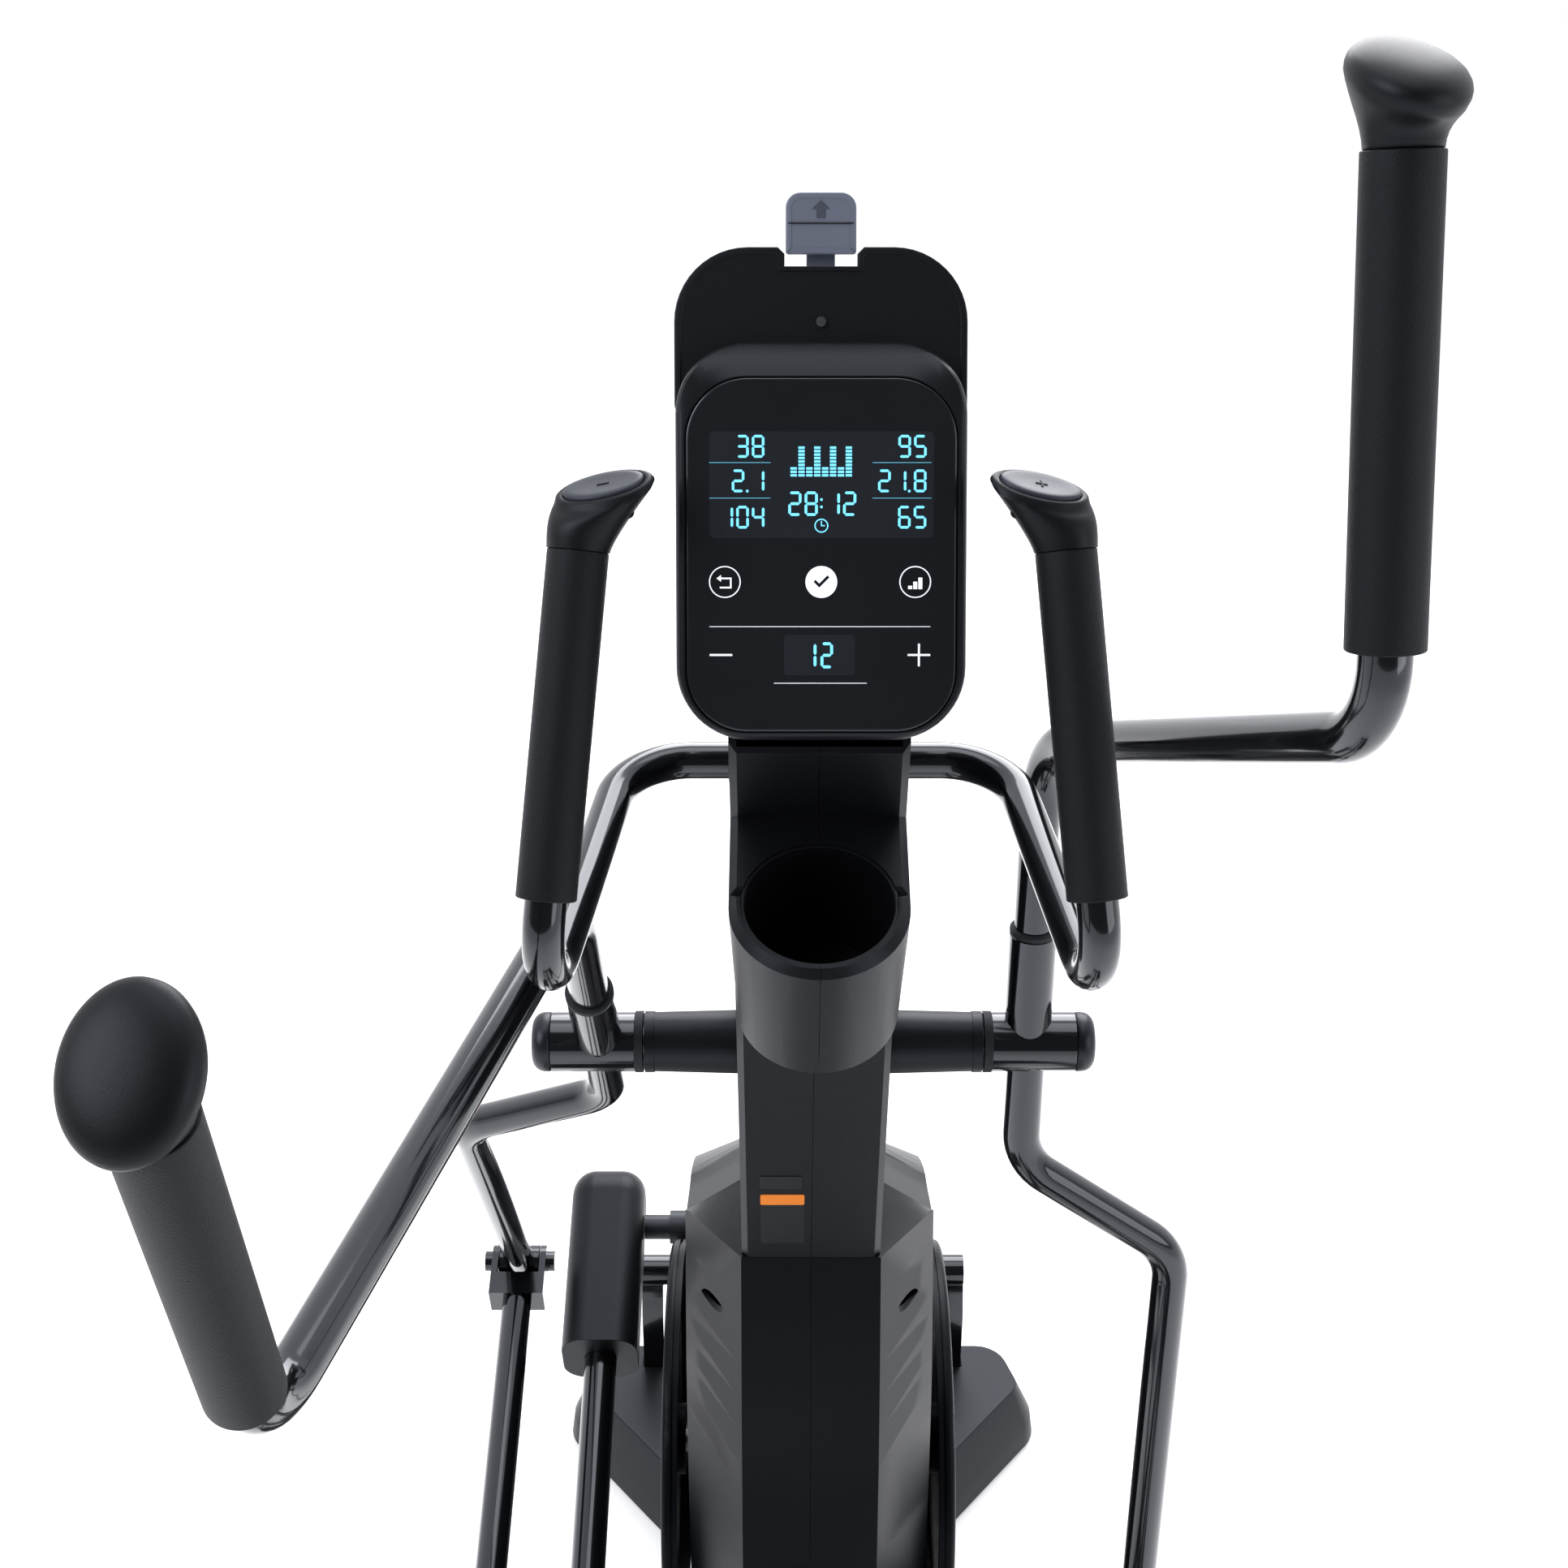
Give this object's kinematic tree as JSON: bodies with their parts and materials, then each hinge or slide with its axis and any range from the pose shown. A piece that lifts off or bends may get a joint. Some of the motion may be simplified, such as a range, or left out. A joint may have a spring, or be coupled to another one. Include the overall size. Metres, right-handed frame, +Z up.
{
  "type": "elliptical trainer",
  "caption": "Elliptical trainer: swing arms, link bars with pedals and roller bars driven by a crank in a housing, with a console, bottle cup and fixed handlebar.",
  "frame": {"origin": "on the floor, under the centre of the bounding box", "axes": "+X the user's right, +Y forward (away from the user), +Z up"},
  "size_m": [0.6412, 1.558, 1.7957],
  "materials": {
    "frame_steel": "gloss black paint",
    "tube_black": "gloss black paint",
    "steel_bright": "machined",
    "cover_plastic": "fine grain charcoal",
    "housing_plastic": "satin charcoal",
    "mast_plastic": "fine grain charcoal",
    "cap_plastic": "satin black",
    "foam": "closed-cell foam",
    "knob_plastic": "satin black",
    "button_plastic": "blue-grey",
    "rubber": "matte",
    "roller": "urethane",
    "rail": "anodised",
    "glass": "dark display glass",
    "clip_grey": "blue-grey",
    "iron": "machined rim",
    "pedal_plastic": "ribbed tread"
  },
  "bodies": {
    "root": {"arm_axle": "steel_bright", "axle_covers": "cover_plastic", "base_frame": "frame_steel", "bottle_cup": "mast_plastic", "console_back": "cover_plastic", "console_bezel": "cover_plastic", "console_glass": "glass", "crank_bearings": "steel_bright", "drive_belt": "rubber", "fasteners": "steel_bright", "fixed_grips": "foam", "fixed_handlebar": "tube_black", "fixed_heads": "knob_plastic", "front_foot_cover": "cover_plastic", "front_stabilizer": "frame_steel", "guide_rails": "rail", "housing_left": "housing_plastic", "housing_right": "housing_plastic", "inner_axles": "steel_bright", "leveling_feet": "rubber", "lift_handle": "frame_steel", "mast_cover_left": "mast_plastic", "mast_cover_right": "mast_plastic", "mast_tube": "frame_steel", "rear_end_caps": "cap_plastic", "rear_stabilizer": "frame_steel", "tablet_rest": "cover_plastic"},
    "crank": {"crank_axle": "steel_bright", "crank_arms": "frame_steel", "crank_discs": "housing_plastic", "drive_pulley": "cap_plastic"},
    "flywheel": {"flywheel": "iron"},
    "idler": {"idler_pulley": "cap_plastic"},
    "magnet_bracket": {"magnet_bracket": "frame_steel"},
    "transport_wheels": {"transport_wheels": "rubber"},
    "tablet_clip": {"tablet_clip": "clip_grey"},
    "thumb_button_left": {"thumb_button_left": "button_plastic"},
    "swing_arm_left": {"arm_hub_left": "tube_black", "arm_upper_left": "tube_black", "arm_grip_left": "foam", "arm_knob_left": "knob_plastic", "arm_cap_left": "cap_plastic"},
    "link_left": {"link_bar_left": "tube_black", "pedal_left": "pedal_plastic"},
    "roller_carriage_left": {"roller_axle_left": "steel_bright"},
    "roller_bar_left": {"roller_bar_left": "tube_black", "bar_cap_left": "cap_plastic"},
    "roller_left": {"roller_wheel_left": "roller"},
    "thumb_button_right": {"thumb_button_right": "button_plastic"},
    "swing_arm_right": {"arm_hub_right": "tube_black", "arm_upper_right": "tube_black", "arm_grip_right": "foam", "arm_knob_right": "knob_plastic", "arm_cap_right": "cap_plastic"},
    "link_right": {"link_bar_right": "tube_black", "pedal_right": "pedal_plastic"},
    "roller_carriage_right": {"roller_axle_right": "steel_bright"},
    "roller_bar_right": {"roller_bar_right": "tube_black", "bar_cap_right": "cap_plastic"},
    "roller_right": {"roller_wheel_right": "roller"}
  },
  "joints": [
    {"name": "crank_turn", "type": "hinge", "parent": "root", "child": "crank", "pos_m": [0, 0.347, 0.354], "axis": [-1, 0, 0], "range_deg": [0, 180]},
    {"name": "flywheel_spin", "type": "hinge", "parent": "root", "child": "flywheel", "pos_m": [0, 0.516, 0.262], "axis": [-1, 0, 0], "continuous": true},
    {"name": "idler_spin", "type": "hinge", "parent": "root", "child": "idler", "pos_m": [0, 0.39896, 0.22189], "axis": [1, 0, 0], "continuous": true},
    {"name": "arm_swing_left", "type": "hinge", "parent": "root", "child": "swing_arm_left", "pos_m": [0, 0.116, 1.014], "axis": [1, 0, 0], "range_deg": [-35.46, 0]},
    {"name": "link_swing_left", "type": "hinge", "parent": "swing_arm_left", "child": "link_left", "pos_m": [0, 0.45081, 0.49217], "axis": [1, 0, 0], "range_deg": [0, 29.53]},
    {"name": "roller_travel_left", "type": "slide", "parent": "root", "child": "roller_carriage_left", "axis": [0, 1, 0], "range_m": [-0.4045, 0]},
    {"name": "bar_tilt_left", "type": "hinge", "parent": "roller_carriage_left", "child": "roller_bar_left", "pos_m": [0, -0.28027, 0.209], "axis": [1, 0, 0], "range_deg": [-15.65, 0]},
    {"name": "roller_spin_left", "type": "hinge", "parent": "roller_carriage_left", "child": "roller_left", "pos_m": [0, -0.28027, 0.209], "axis": [-1, 0, 0], "continuous": true},
    {"name": "arm_swing_right", "type": "hinge", "parent": "root", "child": "swing_arm_right", "pos_m": [0, 0.116, 1.014], "axis": [1, 0, 0], "range_deg": [0, 35.46]},
    {"name": "link_swing_right", "type": "hinge", "parent": "swing_arm_right", "child": "link_right", "pos_m": [0, 0.08609, 0.39472], "axis": [1, 0, 0], "range_deg": [-29.53, 0]},
    {"name": "roller_travel_right", "type": "slide", "parent": "root", "child": "roller_carriage_right", "axis": [0, 1, 0], "range_m": [0, 0.4045]},
    {"name": "bar_tilt_right", "type": "hinge", "parent": "roller_carriage_right", "child": "roller_bar_right", "pos_m": [0, -0.68476, 0.209], "axis": [1, 0, 0], "range_deg": [0, 15.65]},
    {"name": "roller_spin_right", "type": "hinge", "parent": "roller_carriage_right", "child": "roller_right", "pos_m": [0, -0.68476, 0.209], "axis": [-1, 0, 0], "continuous": true},
    {"name": "transport_wheel_spin", "type": "hinge", "parent": "root", "child": "transport_wheels", "pos_m": [0, 0.732, 0.026], "axis": [1, 0, 0], "continuous": true},
    {"name": "magnet_bracket_swing", "type": "hinge", "parent": "root", "child": "magnet_bracket", "pos_m": [0, 0.623, 0.324], "axis": [1, 0, 0], "range_deg": [0, 6]},
    {"name": "tablet_clip_slide", "type": "slide", "parent": "root", "child": "tablet_clip", "axis": [0, 0.4226, 0.9063], "range_m": [0, 0.03], "stiffness_N_per_m": 120, "springref_m": -0.01},
    {"name": "thumb_button_press_left", "type": "slide", "parent": "root", "child": "thumb_button_left", "axis": [-0.2287, -0.08, 0.9702], "range_m": [-0.0015, 0], "stiffness_N_per_m": 900},
    {"name": "thumb_button_press_right", "type": "slide", "parent": "root", "child": "thumb_button_right", "axis": [0.2287, -0.08, 0.9702], "range_m": [-0.0015, 0], "stiffness_N_per_m": 900}
  ],
  "couplings": [
    {"joint": "flywheel_spin", "follows": "crank_turn", "ratio": 6.3889},
    {"joint": "idler_spin", "follows": "crank_turn", "ratio": 7.1875},
    {"joint": "arm_swing_left", "follows": "crank_turn", "ratio": -0.19695},
    {"joint": "link_swing_left", "follows": "crank_turn", "ratio": 0.164},
    {"joint": "roller_travel_left", "follows": "crank_turn", "m_per_rad": -0.12875},
    {"joint": "bar_tilt_left", "follows": "crank_turn", "ratio": -0.086895},
    {"joint": "roller_spin_left", "follows": "crank_turn", "ratio": -3.6787},
    {"joint": "arm_swing_right", "follows": "crank_turn", "ratio": 0.19695},
    {"joint": "link_swing_right", "follows": "crank_turn", "ratio": -0.164},
    {"joint": "roller_travel_right", "follows": "crank_turn", "m_per_rad": 0.12875},
    {"joint": "bar_tilt_right", "follows": "crank_turn", "ratio": 0.086895},
    {"joint": "roller_spin_right", "follows": "crank_turn", "ratio": 3.6787}
  ]
}
